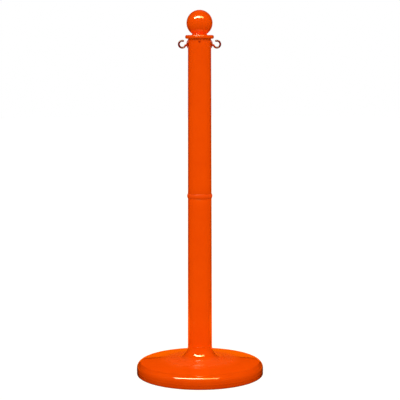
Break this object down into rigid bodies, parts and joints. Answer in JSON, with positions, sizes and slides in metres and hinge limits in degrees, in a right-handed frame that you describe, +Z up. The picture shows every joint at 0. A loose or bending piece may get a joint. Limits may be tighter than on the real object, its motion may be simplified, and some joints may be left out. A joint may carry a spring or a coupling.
{
  "type": "delineator post",
  "caption": "Free-standing plastic delineator post with a ball cap, chain hooks on both sides, a two-part pole and a round sand-filled base.",
  "frame": {"origin": "centre of the base on the floor", "axes": "+Z up along the pole, -Y towards the front with the cap rivet, the hooks point along +X and -X"},
  "size_m": [0.3556, 0.3554, 1.016],
  "materials": {
    "post_plastic": "glossy moulded polyethylene, safety orange",
    "hook_plastic": "glossy moulded nylon, safety orange",
    "stopper_plastic": "plain black moulded plastic",
    "seal_rubber": "soft black rubber",
    "sand": "loose dry sand"
  },
  "bodies": {
    "base": {"base_shell": "post_plastic", "sand_ballast": "sand"},
    "stopper": {"fill_stopper": "stopper_plastic", "stopper_seal": "seal_rubber"},
    "lower_pole": {"lower_pole": "post_plastic"},
    "coupler": {"pole_coupler": "post_plastic"},
    "upper_pole": {"upper_pole": "post_plastic", "ball_cap": "post_plastic", "cap_rivet": "hook_plastic"},
    "left_hook": {"hook_left": "hook_plastic", "hook_left_retainer": "stopper_plastic"},
    "right_hook": {"hook_right": "hook_plastic", "hook_right_retainer": "stopper_plastic"}
  },
  "joints": [
    {"name": "stopper_pull", "type": "slide", "parent": "base", "child": "stopper", "axis": [0, 0, 1], "range_m": [0, 0.02]},
    {"name": "lower_pole_lift", "type": "slide", "parent": "base", "child": "lower_pole", "axis": [0, 0, 1], "range_m": [0, 0.06]},
    {"name": "coupler_turn", "type": "hinge", "parent": "lower_pole", "child": "coupler", "pos_m": [0, 0, 0.499], "axis": [0, 0, 1], "continuous": true},
    {"name": "upper_pole_lift", "type": "slide", "parent": "coupler", "child": "upper_pole", "axis": [0, 0, 1], "range_m": [0, 0.06]},
    {"name": "left_hook_turn", "type": "hinge", "parent": "upper_pole", "child": "left_hook", "pos_m": [-0.035, 0, 0.923], "axis": [-1, 0, 0], "continuous": true},
    {"name": "right_hook_turn", "type": "hinge", "parent": "upper_pole", "child": "right_hook", "pos_m": [0.035, 0, 0.923], "axis": [1, 0, 0], "continuous": true}
  ]
}
